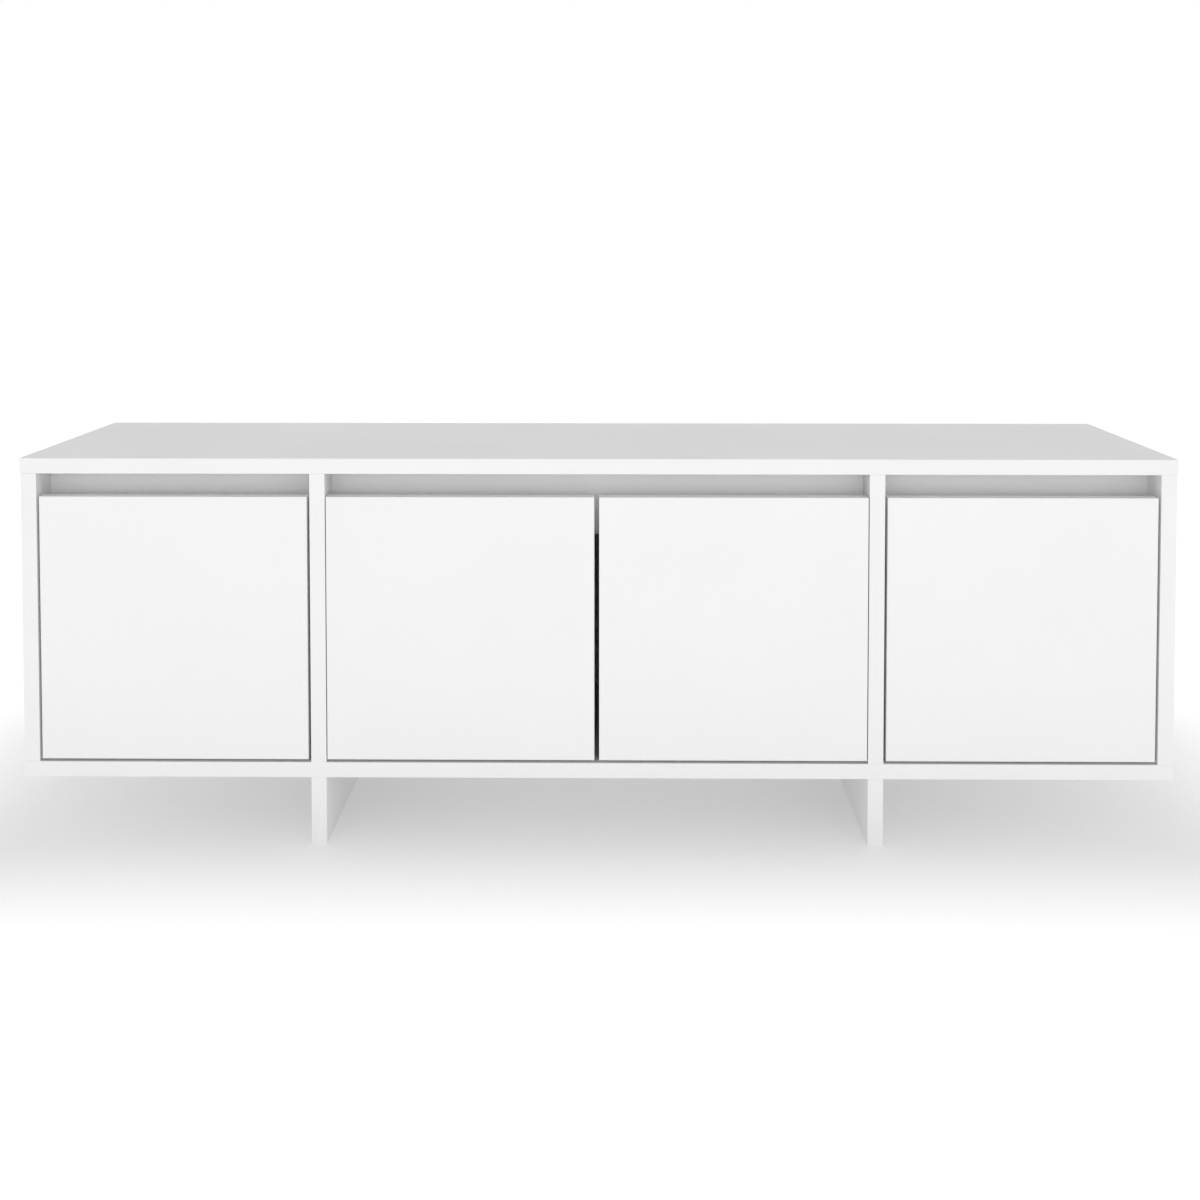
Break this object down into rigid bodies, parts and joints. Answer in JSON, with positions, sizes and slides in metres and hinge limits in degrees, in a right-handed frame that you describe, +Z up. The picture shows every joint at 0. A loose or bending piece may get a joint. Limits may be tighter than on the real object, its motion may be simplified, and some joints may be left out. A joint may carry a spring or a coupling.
{
  "type": "tv stand with doors",
  "caption": "Low white board TV stand with a full-width top, flush doors on concealed hinges, an open finger slot above them, and plate legs.",
  "frame": {"origin": "on the floor, under the middle of the stand", "axes": "+X along the width to the right seen from the front, +Y from the front to the back, +Z up"},
  "size_m": [1.2, 0.3, 0.405],
  "materials": {
    "white_board": "matte white melamine on particle board",
    "door_board": "matte white melamine on particle board",
    "back_board": "white-faced hardboard",
    "nickel": "nickel-plated pressed steel",
    "steel": "zinc-plated steel",
    "zinc": "die-cast zinc",
    "zinc_yellow": "zinc-plated steel",
    "beech": "bare fluted beech"
  },
  "bodies": {
    "carcase": {"top_panel": "white_board", "bottom_panel": "white_board", "left_side_panel": "white_board", "right_side_panel": "white_board", "left_divider": "white_board", "right_divider": "white_board", "left_leg": "white_board", "right_leg": "white_board", "left_rail": "white_board", "centre_rail": "white_board", "right_rail": "white_board", "left_back_panel": "back_board", "centre_back_panel": "back_board", "right_back_panel": "back_board", "cam_locks": "zinc", "cam_bolts": "zinc_yellow", "wood_dowels": "beech", "leg_screws": "steel", "left_outer_hinge_arms": "nickel", "left_outer_arm_pins": "steel", "left_outer_mounting_plates": "nickel", "left_outer_plate_screws": "steel", "left_centre_hinge_arms": "nickel", "left_centre_arm_pins": "steel", "left_centre_mounting_plates": "nickel", "left_centre_plate_screws": "steel", "right_centre_hinge_arms": "nickel", "right_centre_arm_pins": "steel", "right_centre_mounting_plates": "nickel", "right_centre_plate_screws": "steel", "right_outer_hinge_arms": "nickel", "right_outer_arm_pins": "steel", "right_outer_mounting_plates": "nickel", "right_outer_plate_screws": "steel"},
    "left_outer_outer_link": {"left_outer_outer_links": "nickel"},
    "left_outer_door": {"left_outer_door": "door_board", "left_outer_hinge_cups": "nickel", "left_outer_cup_screws": "steel", "left_outer_cup_pins": "steel"},
    "left_outer_inner_link": {"left_outer_inner_links": "nickel"},
    "left_centre_outer_link": {"left_centre_outer_links": "nickel"},
    "left_centre_door": {"left_centre_door": "door_board", "left_centre_hinge_cups": "nickel", "left_centre_cup_screws": "steel", "left_centre_cup_pins": "steel"},
    "left_centre_inner_link": {"left_centre_inner_links": "nickel"},
    "right_centre_outer_link": {"right_centre_outer_links": "nickel"},
    "right_centre_door": {"right_centre_door": "door_board", "right_centre_hinge_cups": "nickel", "right_centre_cup_screws": "steel", "right_centre_cup_pins": "steel"},
    "right_centre_inner_link": {"right_centre_inner_links": "nickel"},
    "right_outer_outer_link": {"right_outer_outer_links": "nickel"},
    "right_outer_door": {"right_outer_door": "door_board", "right_outer_hinge_cups": "nickel", "right_outer_cup_screws": "steel", "right_outer_cup_pins": "steel"},
    "right_outer_inner_link": {"right_outer_inner_links": "nickel"}
  },
  "joints": [
    {"name": "left_outer_outer_link_turn", "type": "hinge", "parent": "carcase", "child": "left_outer_outer_link", "pos_m": [-0.54425, -0.1115, 0.227], "axis": [0, 0, -1], "range_deg": [-28.6, 0.1]},
    {"name": "left_outer_door_swing", "type": "hinge", "parent": "left_outer_outer_link", "child": "left_outer_door", "pos_m": [-0.56925, -0.1375, 0.227], "axis": [0, 0, -1], "range_deg": [0, 123.5]},
    {"name": "left_outer_inner_link_turn", "type": "hinge", "parent": "left_outer_door", "child": "left_outer_inner_link", "pos_m": [-0.56575, -0.1415, 0.227], "axis": [0, 0, -1], "range_deg": [-114.1, 0.1]},
    {"name": "left_centre_outer_link_turn", "type": "hinge", "parent": "carcase", "child": "left_centre_outer_link", "pos_m": [-0.2455, -0.1115, 0.227], "axis": [0, 0, -1], "range_deg": [-28.6, 0.1]},
    {"name": "left_centre_door_swing", "type": "hinge", "parent": "left_centre_outer_link", "child": "left_centre_door", "pos_m": [-0.2705, -0.1375, 0.227], "axis": [0, 0, -1], "range_deg": [0, 123.5]},
    {"name": "left_centre_inner_link_turn", "type": "hinge", "parent": "left_centre_door", "child": "left_centre_inner_link", "pos_m": [-0.267, -0.1415, 0.227], "axis": [0, 0, -1], "range_deg": [-114.1, 0.1]},
    {"name": "right_centre_outer_link_turn", "type": "hinge", "parent": "carcase", "child": "right_centre_outer_link", "pos_m": [0.2455, -0.1115, 0.227], "axis": [0, 0, 1], "range_deg": [-28.6, 0.1]},
    {"name": "right_centre_door_swing", "type": "hinge", "parent": "right_centre_outer_link", "child": "right_centre_door", "pos_m": [0.2705, -0.1375, 0.227], "axis": [0, 0, 1], "range_deg": [0, 123.5]},
    {"name": "right_centre_inner_link_turn", "type": "hinge", "parent": "right_centre_door", "child": "right_centre_inner_link", "pos_m": [0.267, -0.1415, 0.227], "axis": [0, 0, 1], "range_deg": [-114.1, 0.1]},
    {"name": "right_outer_outer_link_turn", "type": "hinge", "parent": "carcase", "child": "right_outer_outer_link", "pos_m": [0.54425, -0.1115, 0.227], "axis": [0, 0, 1], "range_deg": [-28.6, 0.1]},
    {"name": "right_outer_door_swing", "type": "hinge", "parent": "right_outer_outer_link", "child": "right_outer_door", "pos_m": [0.56925, -0.1375, 0.227], "axis": [0, 0, 1], "range_deg": [0, 123.5]},
    {"name": "right_outer_inner_link_turn", "type": "hinge", "parent": "right_outer_door", "child": "right_outer_inner_link", "pos_m": [0.56575, -0.1415, 0.227], "axis": [0, 0, 1], "range_deg": [-114.1, 0.1]}
  ],
  "couplings": [
    {"joint": "left_outer_outer_link_turn", "follows": "left_outer_door_swing", "ratio": -0.23077},
    {"joint": "left_outer_inner_link_turn", "follows": "left_outer_door_swing", "ratio": -0.92308},
    {"joint": "left_centre_outer_link_turn", "follows": "left_centre_door_swing", "ratio": -0.23077},
    {"joint": "left_centre_inner_link_turn", "follows": "left_centre_door_swing", "ratio": -0.92308},
    {"joint": "right_centre_outer_link_turn", "follows": "right_centre_door_swing", "ratio": -0.23077},
    {"joint": "right_centre_inner_link_turn", "follows": "right_centre_door_swing", "ratio": -0.92308},
    {"joint": "right_outer_outer_link_turn", "follows": "right_outer_door_swing", "ratio": -0.23077},
    {"joint": "right_outer_inner_link_turn", "follows": "right_outer_door_swing", "ratio": -0.92308}
  ]
}
